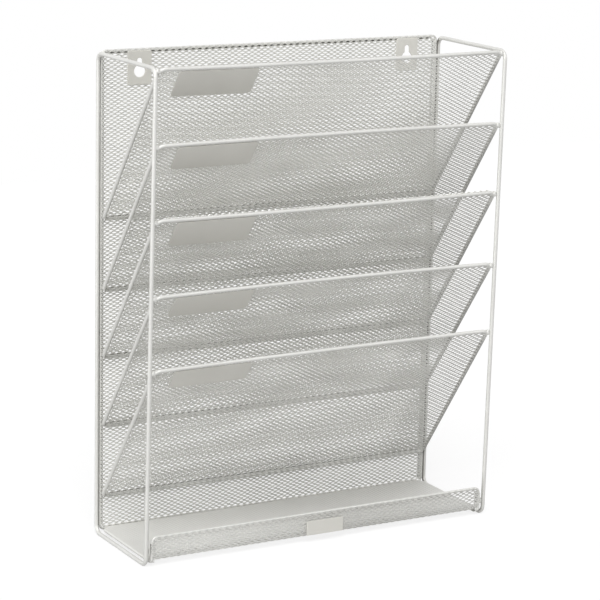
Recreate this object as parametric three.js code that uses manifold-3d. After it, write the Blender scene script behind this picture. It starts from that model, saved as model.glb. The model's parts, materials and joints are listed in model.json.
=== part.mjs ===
// Wall file organizer: five slanting mesh pockets and a shelf with a lip, hung between two bent-wire
// side loops in front of a mesh back panel. Everything is welded steel under one coat of paint.
// Millimetres. +X is to the right of a person who faces the organizer, +Y is towards the wall, +Z is up.
// The origin is under the middle of the overall box, at the height of the side loops' undersides.

import * as THREE from 'three';
import { mergeGeometries, mergeVertices } from 'three/addons/utils/BufferGeometryUtils.js';
import Module from 'manifold-3d';

const wasm = await Module();
wasm.setup();

// What pieces that touch on the real object keep between them
const seat = 0.3;

// How finely wires, bends, sheets' corners and keyholes are drawn
const wireSides = 12;
const bendSteps = 6;
const cornerSegments = 3;
const keyholeSegments = 8;

// Side loops, one closed wire each, square to the wall
const loopWire = 3.8;
const loopSpacing = 326;
const loopHeight = 406.4;
const loopDepth = 104.7;
const loopLean = 6.8;
const loopCorner = 7;

// Back panel, a thin wire rectangle with mesh inside it
const panelWire = 2.2;
const panelSideGap = 0.8;
const panelRise = 0.9;
const panelOffFloor = 2.9;
const panelCorner = 3.5;

// Expanded mesh, as a sheet with a coarse grid of openings where the real sheet has fine diamonds
const sheetThickness = 1;
const meshBar = 6;
const panelOpenings = { across: 12, down: 12 };
const pocketOpenings = { across: 10, down: 5 };

// Pockets, top wire between the front uprights and bottom wire against the back panel.
// The bottom wires are tacked on by hand, so the pockets don't all fall by the same height.
const pocketWire = 3.4;
const pocketSideGap = 0.4;
const pocketTopCorner = 6.5;
const pocketBottomCorner = 5;
const firstTopDrop = 0.6;
const pocketPitch = 60.3;
const pocketFalls = [136.2, 136.1, 133.0, 131.4, 132.8];

// Label plates, flat sheet on the front of each pocket's mesh, below its top wire.
// Their lower edges lie at slightly different distances down the slope.
const labelPlateWidth = 71;
const labelPlateCentreX = -105.5;
const labelPlateReaches = [29, 26, 29, 24.5, 22.5];
const labelPlateThickness = 0.8;
const labelPlateCorner = 2;

// Weld beads between the pockets' top corners and the front uprights
const pocketWeldThickness = 2.2;
const pocketWeldReach = 4;

// Shelf, one wire bent into a floor rim and a lip
const shelfWire = 3;
const shelfSideGap = 1.3;
const shelfOffFloor = 2.9;
const shelfBackCorner = 5;
const shelfFold = 3;
const lipHeight = 23.9;
const lipSetback = 0.4;
const lipCorner = 3;

// Weld beads between the lip's ends and the front uprights
const lipWeldHeight = 5;
const lipWeldDepth = 2;
const lipWeldCentreHeight = 13.6;

// Hanger plates with their keyholes, in the back panel's top corners
const hangerPlateWidth = 21.5;
const hangerPlateHeight = 27.6;
const hangerPlateThickness = 1;
const hangerPlateCorner = 1.5;
const hangerLeftX = -126.2;
const hangerRightX = 129.9;
const keyholeDiameter = 10;
const keyholeSlotWidth = 4.6;
const keyholeCentreDrop = 16.5;
const keyholeSlotTopDrop = 5.7;
const hangerWindowMargin = 2.2;

// Name plate, left bare, on the front of the lip
const namePlateWidth = 35;
const namePlateHeight = 12.4;
const namePlateThickness = 0.8;
const namePlateCorner = 1;
const namePlateCentreX = 2.5;
const namePlateCentreHeight = 13.1;

// Places that several pieces share
const loopX = loopSpacing / 2;
const insideX = loopX - loopWire / 2;
const loopBottomZ = loopWire / 2;
const loopTopZ = loopBottomZ + loopHeight;
const wallY = loopDepth / 2;
const panelFrontY = wallY - panelWire / 2;
const panelX = insideX - panelSideGap - panelWire / 2;
const panelTopZ = loopTopZ + loopWire / 2 + panelRise - panelWire / 2;
const panelBottomZ = panelOffFloor + panelWire / 2;
const pocketX = insideX - pocketSideGap - pocketWire / 2;
const pocketBottomY = panelFrontY - seat - pocketWire / 2;
const shelfX = insideX - shelfSideGap - shelfWire / 2;
const shelfZ = shelfOffFloor + shelfWire / 2;
const shelfBackY = panelFrontY - seat - shelfWire / 2;
const lipTopZ = shelfOffFloor + lipHeight - shelfWire / 2;

// Centre of the front uprights, which stand nearer the wall at the foot than at the top
const uprightY = (z) => -loopDepth / 2 + (loopLean * (loopTopZ - z)) / loopHeight;
const lipY = uprightY(loopBottomZ) + lipSetback;

const paint = (color, roughness) => new THREE.MeshStandardMaterial({ color, roughness, metalness: 0.35 });
const wirePaint = paint(0xdcdcd6, 0.45);
const meshPaint = paint(0xcfcfc9, 0.5);
const platePaint = paint(0xbdbcb5, 0.4);

const point = (x, y, z) => new THREE.Vector3(x, y, z);

function piece(name, geometry, material) {
  const mesh = new THREE.Mesh(geometry, material.clone());
  mesh.name = name;
  return mesh;
}

// Stations of a closed wire: the wire runs straight between its corners and turns each corner on an
// arc of that corner's radius. The section's facing direction turns with the wire.
function wireStations(corners, radii, facing) {
  const stations = [];
  let across = facing.clone();
  corners.forEach((corner, i) => {
    const arriving = corner.clone().sub(corners.at(i - 1)).normalize();
    const leaving = corners[(i + 1) % corners.length].clone().sub(corner).normalize();
    const angle = arriving.angleTo(leaving);
    const axis = arriving.clone().cross(leaving).normalize();
    const start = corner.clone().addScaledVector(arriving, -radii[i] * Math.tan(angle / 2));
    const centre = start.clone().addScaledVector(axis.clone().cross(arriving), radii[i]);
    for (let step = 0; step <= bendSteps; step++) {
      const turn = (angle * step) / bendSteps;
      stations.push({
        at: start.clone().sub(centre).applyAxisAngle(axis, turn).add(centre),
        along: arriving.clone().applyAxisAngle(axis, turn),
        across: across.clone().applyAxisAngle(axis, turn),
      });
    }
    across = across.clone().applyAxisAngle(axis, angle);
  });
  return stations;
}

// A closed wire of a many-sided section whose flats stand off the centre by the wire's radius
function closedWire(diameter, corners, radii, facing) {
  const stations = wireStations(corners, radii, facing);
  const reach = diameter / 2 / Math.cos(Math.PI / wireSides);
  const positions = [];
  const triangles = [];
  stations.forEach(({ at, along, across }, i) => {
    const side = along.clone().cross(across);
    const next = (i + 1) % stations.length;
    for (let k = 0; k < wireSides; k++) {
      const angle = (2 * Math.PI * (k + 0.5)) / wireSides;
      const vertex = at.clone();
      vertex.addScaledVector(across, reach * Math.cos(angle));
      vertex.addScaledVector(side, reach * Math.sin(angle));
      positions.push(...vertex.toArray());
      const a = i * wireSides + k;
      const b = i * wireSides + ((k + 1) % wireSides);
      const c = next * wireSides + k;
      const d = next * wireSides + ((k + 1) % wireSides);
      triangles.push(a, b, d, a, d, c);
    }
  });
  const geometry = new THREE.BufferGeometry();
  geometry.setAttribute('position', new THREE.Float32BufferAttribute(positions, 3));
  geometry.setIndex(triangles);
  geometry.computeVertexNormals();
  return geometry;
}

function roundedRectangle(target, left, bottom, right, top, radius) {
  const quarter = Math.PI / 2;
  target.moveTo(left + radius, bottom);
  target.absarc(right - radius, bottom + radius, radius, -quarter, 0, false);
  target.absarc(right - radius, top - radius, radius, 0, quarter, false);
  target.absarc(left + radius, top - radius, radius, quarter, 2 * quarter, false);
  target.absarc(left + radius, bottom + radius, radius, 2 * quarter, 3 * quarter, false);
  return target;
}

// Sheet metal standing in the XZ plane, from frontY to frontY + thickness
function standingSheet(shape, thickness, frontY, curveSegments = cornerSegments) {
  const geometry = new THREE.ExtrudeGeometry(shape, { depth: thickness, bevelEnabled: false, curveSegments });
  geometry.rotateX(Math.PI / 2);
  geometry.translate(0, frontY + thickness, 0);
  return geometry;
}

function sideLoop(name, x) {
  const corners = [
    point(x, uprightY(loopBottomZ), loopBottomZ),
    point(x, wallY, loopBottomZ),
    point(x, wallY, loopTopZ),
    point(x, uprightY(loopTopZ), loopTopZ),
  ];
  const radii = corners.map(() => loopCorner);
  return piece(name, closedWire(loopWire, corners, radii, point(1, 0, 0)), wirePaint);
}

function panelFrame() {
  const corners = [
    point(-panelX, wallY, panelBottomZ),
    point(panelX, wallY, panelBottomZ),
    point(panelX, wallY, panelTopZ),
    point(-panelX, wallY, panelTopZ),
  ];
  const radii = corners.map(() => panelCorner);
  return piece('back_panel_frame', closedWire(panelWire, corners, radii, point(0, 1, 0)), wirePaint);
}

function solid(geometry) {
  const bare = geometry.clone();
  bare.deleteAttribute('normal');
  bare.deleteAttribute('uv');
  const closed = mergeVertices(bare);
  const vertProperties = closed.getAttribute('position').array;
  return new wasm.Manifold(new wasm.Mesh({ numProp: 3, vertProperties, triVerts: closed.getIndex().array }));
}

// A sheet standing in the XZ plane, with a grid of square openings and bars of one width round and
// between them. It stays whole where an opening would meet a plate that is welded to it.
function openedSheet(sheet, middleY, edges, count, plates = []) {
  const width = (edges.right - edges.left - meshBar) / count.across - meshBar;
  const height = (edges.top - edges.bottom - meshBar) / count.down - meshBar;
  const cutters = [];
  for (let column = 0; column < count.across; column++) {
    for (let row = 0; row < count.down; row++) {
      const left = edges.left + meshBar + column * (width + meshBar);
      const bottom = edges.bottom + meshBar + row * (height + meshBar);
      const right = left + width;
      const top = bottom + height;
      const beside = (plate) => left > plate.right || right < plate.left || bottom > plate.top || top < plate.bottom;
      if (!plates.every(beside)) continue;
      const cutter = new THREE.BoxGeometry(width, 2 * sheetThickness, height);
      cutters.push(cutter.translate((left + right) / 2, middleY, (bottom + top) / 2));
    }
  }
  const opened = solid(sheet).subtract(solid(mergeGeometries(cutters))).getMesh();
  const geometry = new THREE.BufferGeometry();
  geometry.setAttribute('position', new THREE.BufferAttribute(opened.vertProperties, 3));
  geometry.setIndex(new THREE.BufferAttribute(opened.triVerts, 1));
  geometry.computeVertexNormals();
  return geometry;
}

const insideWire = (wire) => wire / 2 + seat;
const hangerTopZ = panelTopZ - insideWire(panelWire);

const hangerPlace = (centreX) => ({
  left: centreX - hangerPlateWidth / 2,
  right: centreX + hangerPlateWidth / 2,
  bottom: hangerTopZ - hangerPlateHeight,
  top: hangerTopZ,
});

// The mesh is cut out behind each hanger plate, so that a screw's head goes right through
function hangerWindow(centreX) {
  const { left, right, bottom, top } = hangerPlace(centreX);
  const margin = hangerWindowMargin;
  return roundedRectangle(
    new THREE.Path(),
    left + margin,
    bottom + margin,
    right - margin,
    top - margin,
    hangerPlateCorner,
  );
}

function panelMesh() {
  const margin = insideWire(panelWire);
  const left = -panelX + margin;
  const right = panelX - margin;
  const bottom = panelBottomZ + margin;
  const top = panelTopZ - margin;
  const shape = roundedRectangle(new THREE.Shape(), left, bottom, right, top, panelCorner - margin);
  const hangers = [hangerLeftX, hangerRightX];
  shape.holes.push(...hangers.map(hangerWindow));
  const sheet = standingSheet(shape, sheetThickness, wallY - sheetThickness / 2);
  const plates = hangers.map(hangerPlace);
  const opened = openedSheet(sheet, wallY, { left, right, bottom, top }, panelOpenings, plates);
  return piece('back_panel_mesh', opened, meshPaint);
}

// A round hole for the screw's head that runs up into a slot for its shank
function keyhole(centreX) {
  const centreZ = hangerTopZ - keyholeCentreDrop;
  const slotRadius = keyholeSlotWidth / 2;
  const slotZ = hangerTopZ - keyholeSlotTopDrop - slotRadius;
  const meeting = Math.acos(slotRadius / (keyholeDiameter / 2));
  const outline = new THREE.Path();
  outline.absarc(centreX, slotZ, slotRadius, 0, Math.PI, false);
  outline.absarc(centreX, centreZ, keyholeDiameter / 2, Math.PI - meeting, 2 * Math.PI + meeting, false);
  outline.closePath();
  return outline;
}

function hangerPlate(name, centreX) {
  const { left, right, bottom, top } = hangerPlace(centreX);
  const shape = roundedRectangle(new THREE.Shape(), left, bottom, right, top, hangerPlateCorner);
  shape.holes.push(keyhole(centreX));
  const frontY = wallY - sheetThickness / 2 - seat - hangerPlateThickness;
  return piece(name, standingSheet(shape, hangerPlateThickness, frontY, keyholeSegments), platePaint);
}

// Each pocket is drawn upright with its top wire at its own origin, then tilted back to the panel

function pocketFrame(name, slope) {
  const corners = [
    point(-pocketX, 0, -slope),
    point(pocketX, 0, -slope),
    point(pocketX, 0, 0),
    point(-pocketX, 0, 0),
  ];
  const radii = [pocketBottomCorner, pocketBottomCorner, pocketTopCorner, pocketTopCorner];
  return piece(name, closedWire(pocketWire, corners, radii, point(0, 1, 0)), wirePaint);
}

function pocketMesh(name, slope) {
  const margin = insideWire(pocketWire);
  const right = pocketX - margin;
  const bottom = -slope + margin;
  const shape = roundedRectangle(new THREE.Shape(), -right, bottom, right, -margin, pocketTopCorner - margin);
  const sheet = standingSheet(shape, sheetThickness, -sheetThickness / 2);
  const edges = { left: -right, right, bottom, top: -margin };
  return piece(name, openedSheet(sheet, 0, edges, pocketOpenings), meshPaint);
}

function labelPlate(name, reach) {
  const shape = roundedRectangle(
    new THREE.Shape(),
    labelPlateCentreX - labelPlateWidth / 2,
    -reach,
    labelPlateCentreX + labelPlateWidth / 2,
    -insideWire(pocketWire),
    labelPlateCorner,
  );
  const frontY = -sheetThickness / 2 - seat - labelPlateThickness;
  return piece(name, standingSheet(shape, labelPlateThickness, frontY), platePaint);
}

// A bead that fills the wedge between the frame's rounded top corner and the upright
function pocketWeld(name, hand) {
  const centreX = pocketX - pocketTopCorner;
  const centreZ = -pocketTopCorner;
  const radius = pocketTopCorner + pocketWire / 2 + seat;
  const outerX = insideX - seat;
  const fromAngle = Math.asin(pocketTopCorner / radius);
  const toAngle = Math.asin((pocketTopCorner - pocketWeldReach) / radius);
  const shape = new THREE.Shape();
  shape.moveTo(hand * outerX, -pocketWeldReach);
  shape.lineTo(hand * outerX, 0);
  for (let step = 0; step <= bendSteps; step++) {
    const angle = fromAngle + ((toAngle - fromAngle) * step) / bendSteps;
    shape.lineTo(hand * (centreX + radius * Math.cos(angle)), centreZ + radius * Math.sin(angle));
  }
  return piece(name, standingSheet(shape, pocketWeldThickness, -pocketWeldThickness / 2), wirePaint);
}

function pocket(number) {
  const topZ = loopTopZ - firstTopDrop - pocketPitch * (number - 1);
  const fall = pocketFalls[number - 1];
  const run = pocketBottomY - uprightY(topZ);
  const slope = Math.hypot(run, fall);
  const group = new THREE.Group();
  group.add(pocketFrame(`pocket_${number}_frame`, slope));
  group.add(pocketMesh(`pocket_${number}_mesh`, slope));
  group.add(labelPlate(`pocket_${number}_label_plate`, labelPlateReaches[number - 1]));
  group.add(pocketWeld(`pocket_${number}_weld_left`, -1));
  group.add(pocketWeld(`pocket_${number}_weld_right`, 1));
  group.position.set(0, uprightY(topZ), topZ);
  group.rotation.x = Math.atan2(run, fall);
  return group;
}

function shelfFrame() {
  const corners = [
    point(shelfX, shelfBackY, shelfZ),
    point(shelfX, lipY, shelfZ),
    point(shelfX, lipY, lipTopZ),
    point(-shelfX, lipY, lipTopZ),
    point(-shelfX, lipY, shelfZ),
    point(-shelfX, shelfBackY, shelfZ),
  ];
  const radii = [shelfBackCorner, shelfFold, lipCorner, lipCorner, shelfFold, shelfBackCorner];
  return piece('shelf_frame', closedWire(shelfWire, corners, radii, point(0, 0, 1)), wirePaint);
}

// The floor and lip are one sheet, flush with the outside of the rim and folded on its bend
function shelfMesh() {
  const halfWidth = shelfX - insideWire(shelfWire);
  const outerFold = shelfFold + shelfWire / 2;
  const innerFold = outerFold - sheetThickness;
  const lipFrontY = lipY - shelfWire / 2;
  const foldY = lipFrontY + outerFold;
  const foldZ = shelfOffFloor + outerFold;
  const backY = shelfBackY - insideWire(shelfWire);
  const topZ = lipTopZ - insideWire(shelfWire);
  const profile = new THREE.Shape();
  profile.moveTo(backY, shelfOffFloor + sheetThickness);
  profile.absarc(foldY, foldZ, innerFold, 1.5 * Math.PI, Math.PI, true);
  profile.lineTo(lipFrontY + sheetThickness, topZ);
  profile.lineTo(lipFrontY, topZ);
  profile.absarc(foldY, foldZ, outerFold, Math.PI, 1.5 * Math.PI, false);
  profile.lineTo(backY, shelfOffFloor);
  profile.closePath();
  const options = { depth: 2 * halfWidth, bevelEnabled: false, curveSegments: bendSteps };
  const geometry = new THREE.ExtrudeGeometry(profile, options);
  geometry.applyMatrix4(new THREE.Matrix4().makeBasis(point(0, 1, 0), point(0, 0, 1), point(1, 0, 0)));
  geometry.translate(-halfWidth, 0, 0);
  return piece('shelf_mesh', geometry, meshPaint);
}

function lipWeld(name, hand) {
  const innerX = shelfX + shelfWire / 2 + seat;
  const outerX = insideX - seat;
  const bead = piece(name, new THREE.BoxGeometry(outerX - innerX, lipWeldDepth, lipWeldHeight), wirePaint);
  bead.position.set((hand * (innerX + outerX)) / 2, lipY, lipWeldCentreHeight);
  return bead;
}

function namePlate() {
  const shape = roundedRectangle(
    new THREE.Shape(),
    -namePlateWidth / 2,
    -namePlateHeight / 2,
    namePlateWidth / 2,
    namePlateHeight / 2,
    namePlateCorner,
  );
  const plate = piece('name_plate', standingSheet(shape, namePlateThickness, 0), platePaint);
  const frontY = lipY - shelfWire / 2 - seat - namePlateThickness;
  plate.position.set(namePlateCentreX, frontY, namePlateCentreHeight);
  return plate;
}

const organizer = new THREE.Group();
organizer.add(sideLoop('side_loop_left', -loopX));
organizer.add(sideLoop('side_loop_right', loopX));
organizer.add(panelFrame());
organizer.add(panelMesh());
organizer.add(hangerPlate('hanger_plate_left', hangerLeftX));
organizer.add(hangerPlate('hanger_plate_right', hangerRightX));
for (let number = 1; number <= pocketFalls.length; number++) organizer.add(pocket(number));
organizer.add(shelfFrame());
organizer.add(shelfMesh());
organizer.add(lipWeld('lip_weld_left', -1));
organizer.add(lipWeld('lip_weld_right', 1));
organizer.add(namePlate());

export default organizer;
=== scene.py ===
"""Wall file organizer: painted wire, expanded mesh and plates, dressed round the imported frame.

Everything is in metres in the frame's own axes: +X to the right of a person who faces the organizer,
+Y towards the wall, +Z up. Each piece stands where its node stands, so its place is read from the
node's box, and each class adds only the sizes that a box can't give. Sheets are worked out flat, as
(across, down, out), and are then laid in their place.
"""

import json
import logging
import math
from collections.abc import Callable
from dataclasses import dataclass, field, replace
from enum import Enum

import bpy
import numpy as np
from mathutils import Matrix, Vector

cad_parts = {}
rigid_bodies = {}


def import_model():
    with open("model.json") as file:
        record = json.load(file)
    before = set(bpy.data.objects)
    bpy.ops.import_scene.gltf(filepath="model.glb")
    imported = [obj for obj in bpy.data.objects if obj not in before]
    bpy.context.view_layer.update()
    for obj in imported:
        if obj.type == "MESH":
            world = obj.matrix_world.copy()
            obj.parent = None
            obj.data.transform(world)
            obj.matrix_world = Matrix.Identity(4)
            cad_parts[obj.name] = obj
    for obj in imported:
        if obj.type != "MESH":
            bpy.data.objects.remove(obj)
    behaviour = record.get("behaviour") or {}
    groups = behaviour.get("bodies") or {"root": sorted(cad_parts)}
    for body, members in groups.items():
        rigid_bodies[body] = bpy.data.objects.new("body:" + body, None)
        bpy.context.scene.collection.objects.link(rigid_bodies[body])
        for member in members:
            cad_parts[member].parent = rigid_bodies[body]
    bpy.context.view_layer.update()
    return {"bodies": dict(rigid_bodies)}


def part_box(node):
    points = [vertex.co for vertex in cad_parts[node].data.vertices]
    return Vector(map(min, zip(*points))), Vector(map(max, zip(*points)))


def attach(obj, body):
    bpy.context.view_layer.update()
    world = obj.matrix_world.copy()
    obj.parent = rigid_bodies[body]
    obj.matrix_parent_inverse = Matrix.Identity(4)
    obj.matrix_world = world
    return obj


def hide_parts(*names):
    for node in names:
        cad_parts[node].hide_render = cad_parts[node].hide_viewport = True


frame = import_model()
BODY = next(iter(frame["bodies"]))

Array = np.ndarray
Pair = tuple[float, float]
Triple = tuple[float, float, float]
Socket = bpy.types.NodeSocket

MM = 0.001
QUARTER = math.pi / 2
WHOLE = 2 * math.pi
# Directions on an upright sheet that faces the room
DOWN, OUT = np.array([0, 0, -1.0]), np.array([0, -1.0, 0])

log = logging.getLogger("organizer")


class Slot(Enum):
    """The record's material slots."""

    WIRE = "wire_paint"
    MESH = "mesh_paint"
    PLATE = "plate_paint"


class Hand(Enum):
    """The side of the organizer that a piece of a pair is on."""

    LEFT = "left"
    RIGHT = "right"


@dataclass(frozen=True)
class Surface:
    """A mesh as whole arrays.

    Attributes:
        points: One row of x, y and z for each vertex.
        faces: One array for each number of corners that a face can have, with a row for each face.
        painted_shade: How much painted shade each vertex has, from 0 to 1, where crevices, folds and far
            sides lie in shade.
    """

    points: Array
    faces: tuple[Array, ...]
    painted_shade: Array | None = None

    def facing_out(self) -> "Surface":
        """The same surface with its faces turned round if they point inwards.

        They do if its volume is negative, which is the sum, over the triangles that each face is
        fanned into, of the first corner times the cross product of the other two.
        """
        corners = self.points - self.points.mean(axis=0)
        volume = 0.0
        for faces in self.faces:
            fan = np.cross(corners[faces[:, 1:-1]], corners[faces[:, 2:]])
            volume += float((corners[faces[:, :1]] * fan).sum())
        return self if volume >= 0 else replace(self, faces=tuple(faces[:, ::-1] for faces in self.faces))

    def compact(self) -> "Surface":
        """The same surface without the vertices that no face uses."""
        used, numbers = np.unique(np.concatenate([f.ravel() for f in self.faces]), return_inverse=True)
        parts = np.split(numbers, np.cumsum([f.size for f in self.faces])[:-1])
        return Surface(self.points[used], tuple(p.reshape(f.shape) for p, f in zip(parts, self.faces)))


def grid_faces(rows: int, columns: int, round_rows: bool) -> Array:
    """Four-cornered faces between the neighbours of a grid whose rows are closed rings.

    Args:
        rows: Number of rows of vertices.
        columns: Number of vertices in each row.
        round_rows: Whether the last row joins the first.

    Returns:
        An array with four vertex numbers for each face.
    """
    row = np.arange(rows if round_rows else rows - 1)[:, None] * columns
    next_row = (row + columns) % (rows * columns)
    column = np.arange(columns)[None, :]
    next_column = (column + 1) % columns
    corners = (row + column, row + next_column, next_row + next_column, next_row + column)
    return np.stack(corners, axis=-1).reshape(-1, 4)


def soft_step(value: Array, start: float, end: float) -> Array:
    """How far each value is from start to end, from 0 to 1, eased in and out."""
    share = np.clip((value - start) / (end - start), 0, 1)
    return share * share * (3 - 2 * share)


def unit(vectors: Array) -> Array:
    """The same directions with a length of one."""
    return vectors / np.linalg.norm(vectors, axis=-1, keepdims=True)


def circle(angle: Array, radius: float) -> Array:
    """The points (r cos t, r sin t) at each angle t."""
    return np.stack([np.cos(angle), np.sin(angle)], axis=-1) * radius


def new_object(name: str, data: bpy.types.ID) -> bpy.types.Object:
    """Makes an object from its data and puts it in the scene."""
    made = bpy.data.objects.new(name, data)
    bpy.context.scene.collection.objects.link(made)
    return made


def make_piece(
    name: str, surface: Surface, material: bpy.types.Material, slot: Slot, nodes: list[str]
) -> bpy.types.Object:
    """Makes one object, which rides on the body and stands for its nodes.

    Args:
        name: The piece's name.
        surface: Its shape, in its place.
        material: Its finish.
        slot: The record's slot that the finish belongs to.
        nodes: The frame's nodes that it stands for.

    Returns:
        The new object.
    """
    surface = surface.facing_out()
    mesh = bpy.data.meshes.new(name)
    sizes = np.concatenate([np.full(len(faces), faces.shape[1]) for faces in surface.faces])
    corners = np.concatenate([faces.ravel() for faces in surface.faces])
    mesh.vertices.add(len(surface.points))
    mesh.vertices.foreach_set("co", surface.points.astype(np.float32).ravel())
    mesh.loops.add(len(corners))
    mesh.loops.foreach_set("vertex_index", corners.astype(np.int32))
    mesh.polygons.add(len(sizes))
    mesh.polygons.foreach_set("loop_start", (np.cumsum(sizes) - sizes).astype(np.int32))
    mesh.polygons.foreach_set("use_smooth", np.full(len(sizes), slot is not Slot.MESH))
    mesh.update(calc_edges=True)
    mesh.validate()
    # Painted shade: each vertex's darkening from 0 to 1, for crevices, folds and far sides that lie in shade.
    painted_shade = mesh.attributes.new("painted_shade", "FLOAT", "POINT")
    if surface.painted_shade is not None:
        painted_shade.data.foreach_set("value", surface.painted_shade.astype(np.float32))
    mesh.materials.append(material)
    piece = new_object(name, mesh)
    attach(piece, BODY)
    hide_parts(*nodes)
    return piece


# Finishes


def opaque(color: Triple, share: float = 1.0) -> tuple[float, ...]:
    """A colour, or a share of it, as the four numbers that a socket takes."""
    return (*(share * c for c in color), 1.0)


class NodeTree:
    """A node tree with a short way to add nodes that are already joined."""

    def __init__(self, tree: bpy.types.NodeTree) -> None:
        """Takes the tree."""
        self.tree = tree

    def add(
        self, kind: str, inputs: dict[str | int, object] | None = None, **settings: object
    ) -> bpy.types.Node:
        """Makes a node.

        Args:
            kind: Its type, without the "ShaderNode" in front.
            inputs: What its sockets take, by name or number.
            settings: Its own settings.

        Returns:
            The new node.
        """
        node = self.tree.nodes.new(f"ShaderNode{kind}")
        for key, value in settings.items():
            setattr(node, key, value)
        for key, value in (inputs or {}).items():
            self.feed(value, node.inputs[key])
        return node

    def feed(self, value: object, target: Socket) -> None:
        """Links another socket to the target, or sets a plain value on it."""
        if isinstance(value, Socket):
            self.tree.links.new(value, target)
        else:
            target.default_value = value

    def math(self, operation: str, *terms: Socket | float) -> Socket:
        """The result of a sum on sockets or plain numbers."""
        return self.add("Math", dict(enumerate(terms)), operation=operation).outputs[0]

    def mix(self, share: Socket, first: object, second: object) -> Socket:
        """The first colour where the share is 0, and the second where it is 1."""
        sockets = {"Factor": share, "A": first, "B": second}
        return self.add("Mix", sockets, data_type="RGBA").outputs["Result"]

    def ranged(self, value: Socket, **limits: float) -> Socket:
        """The value carried from one range to another, whose limits are named as on the node."""
        named = {key.replace("_", " ").title(): limit for key, limit in limits.items()}
        return self.add("MapRange", {"Value": value, **named}).outputs["Result"]


class ShaderGroup(NodeTree):
    """A shader node group with named inputs and outputs."""

    def __init__(
        self, name: str, inputs: dict[str, float | tuple[float, ...]], outputs: dict[str, str]
    ) -> None:
        """Starts the group.

        Args:
            name: The group's name.
            inputs: Each input's name and usual value, a number or a colour of four numbers.
            outputs: Each output's name and kind, Float or Color.
        """
        super().__init__(bpy.data.node_groups.new(name, "ShaderNodeTree"))
        for label, value in inputs.items():
            kind = "NodeSocketColor" if isinstance(value, tuple) else "NodeSocketFloat"
            socket = self.tree.interface.new_socket(name=label, in_out="INPUT", socket_type=kind)
            socket.default_value = value
        for label, kind in outputs.items():
            self.tree.interface.new_socket(name=label, in_out="OUTPUT", socket_type=f"NodeSocket{kind}")
        self.inputs = self.tree.nodes.new("NodeGroupInput").outputs
        self.outputs = self.tree.nodes.new("NodeGroupOutput").inputs

    def noise(self, per_metre: float, detail: float, roughness: float = 0.5) -> Socket:
        """Noise from 0 to 1 over the piece's own coordinates.

        Args:
            per_metre: Its frequency.
            detail: How many finer layers it has.
            roughness: How strong they are.

        Returns:
            The socket with its value.
        """
        place = self.add("TexCoord").outputs["Object"]
        sockets = {"Vector": place, "Scale": per_metre, "Detail": detail, "Roughness": roughness}
        return self.add("TexNoise", sockets).outputs["Fac"]


def paint_film_group() -> bpy.types.NodeTree:
    """Sprayed paint's height: long soft waves of orange peel, with the powder's fine grain on them."""
    group = ShaderGroup("paint_film", {"Peel": 0.7, "Grain": 0.3}, {"Height": "Float"})
    peel = group.math("MULTIPLY", group.noise(per_metre=1100.0, detail=2.0), group.inputs["Peel"])
    fine = group.noise(per_metre=5200.0, detail=3.0, roughness=0.65)
    grain = group.math("MULTIPLY", fine, group.inputs["Grain"])
    group.feed(group.math("ADD", peel, grain), group.outputs["Height"])
    return group.tree


def paint_tone_group() -> bpy.types.NodeTree:
    """Paint's colour: broad drifts between thinner and full cover, and the metal flakes' fine speckle."""
    colours = {"Full Cover": (0.7, 0.7, 0.7, 1.0), "Thin Cover": (0.6, 0.6, 0.6, 1.0)}
    amounts = {"Drift": 0.6, "Speckle": 0.3}
    group = ShaderGroup("paint_tone", colours | amounts, {"Color": "Color", "Cover": "Float"})
    broad = group.ranged(group.noise(per_metre=26.0, detail=3.0), from_min=0.38, from_max=0.66)
    fine = group.ranged(group.noise(per_metre=7400.0, detail=1.0), from_min=0.5, from_max=0.8)
    drift = group.math("MULTIPLY", broad, group.inputs["Drift"])
    speckle = group.math("MULTIPLY", fine, group.inputs["Speckle"])
    # Here the amount is only where the paint cover is thinner, drifting at random; it holds no shade.
    thin_cover_and_shade = group.math("MINIMUM", group.math("ADD", drift, speckle), 1.0)
    color = group.mix(thin_cover_and_shade, group.inputs["Full Cover"], group.inputs["Thin Cover"])
    group.feed(color, group.outputs["Color"])
    group.feed(group.math("SUBTRACT", 1.0, thin_cover_and_shade), group.outputs["Cover"])
    return group.tree


def settled_dust_group() -> bpy.types.NodeTree:
    """Where fine dust lies: on faces that look up, in patches."""
    group = ShaderGroup("settled_dust", {"Amount": 0.3}, {"Mask": "Float"})
    normal = group.add("NewGeometry").outputs["Normal"]
    slope = group.add("SeparateXYZ", {"Vector": normal}).outputs["Z"]
    upward = group.ranged(slope, from_min=0.35, from_max=1.0)
    patchy = group.noise(per_metre=60.0, detail=4.0, roughness=0.6)
    patches = group.ranged(patchy, from_min=0.4, from_max=0.7)
    mask = group.math("MULTIPLY", group.math("MULTIPLY", upward, patches), group.inputs["Amount"])
    group.feed(mask, group.outputs["Mask"])
    return group.tree


@dataclass(frozen=True)
class PaintGroups:
    """The node groups that every finish places."""

    film: bpy.types.NodeTree
    tone: bpy.types.NodeTree
    dust: bpy.types.NodeTree


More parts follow.
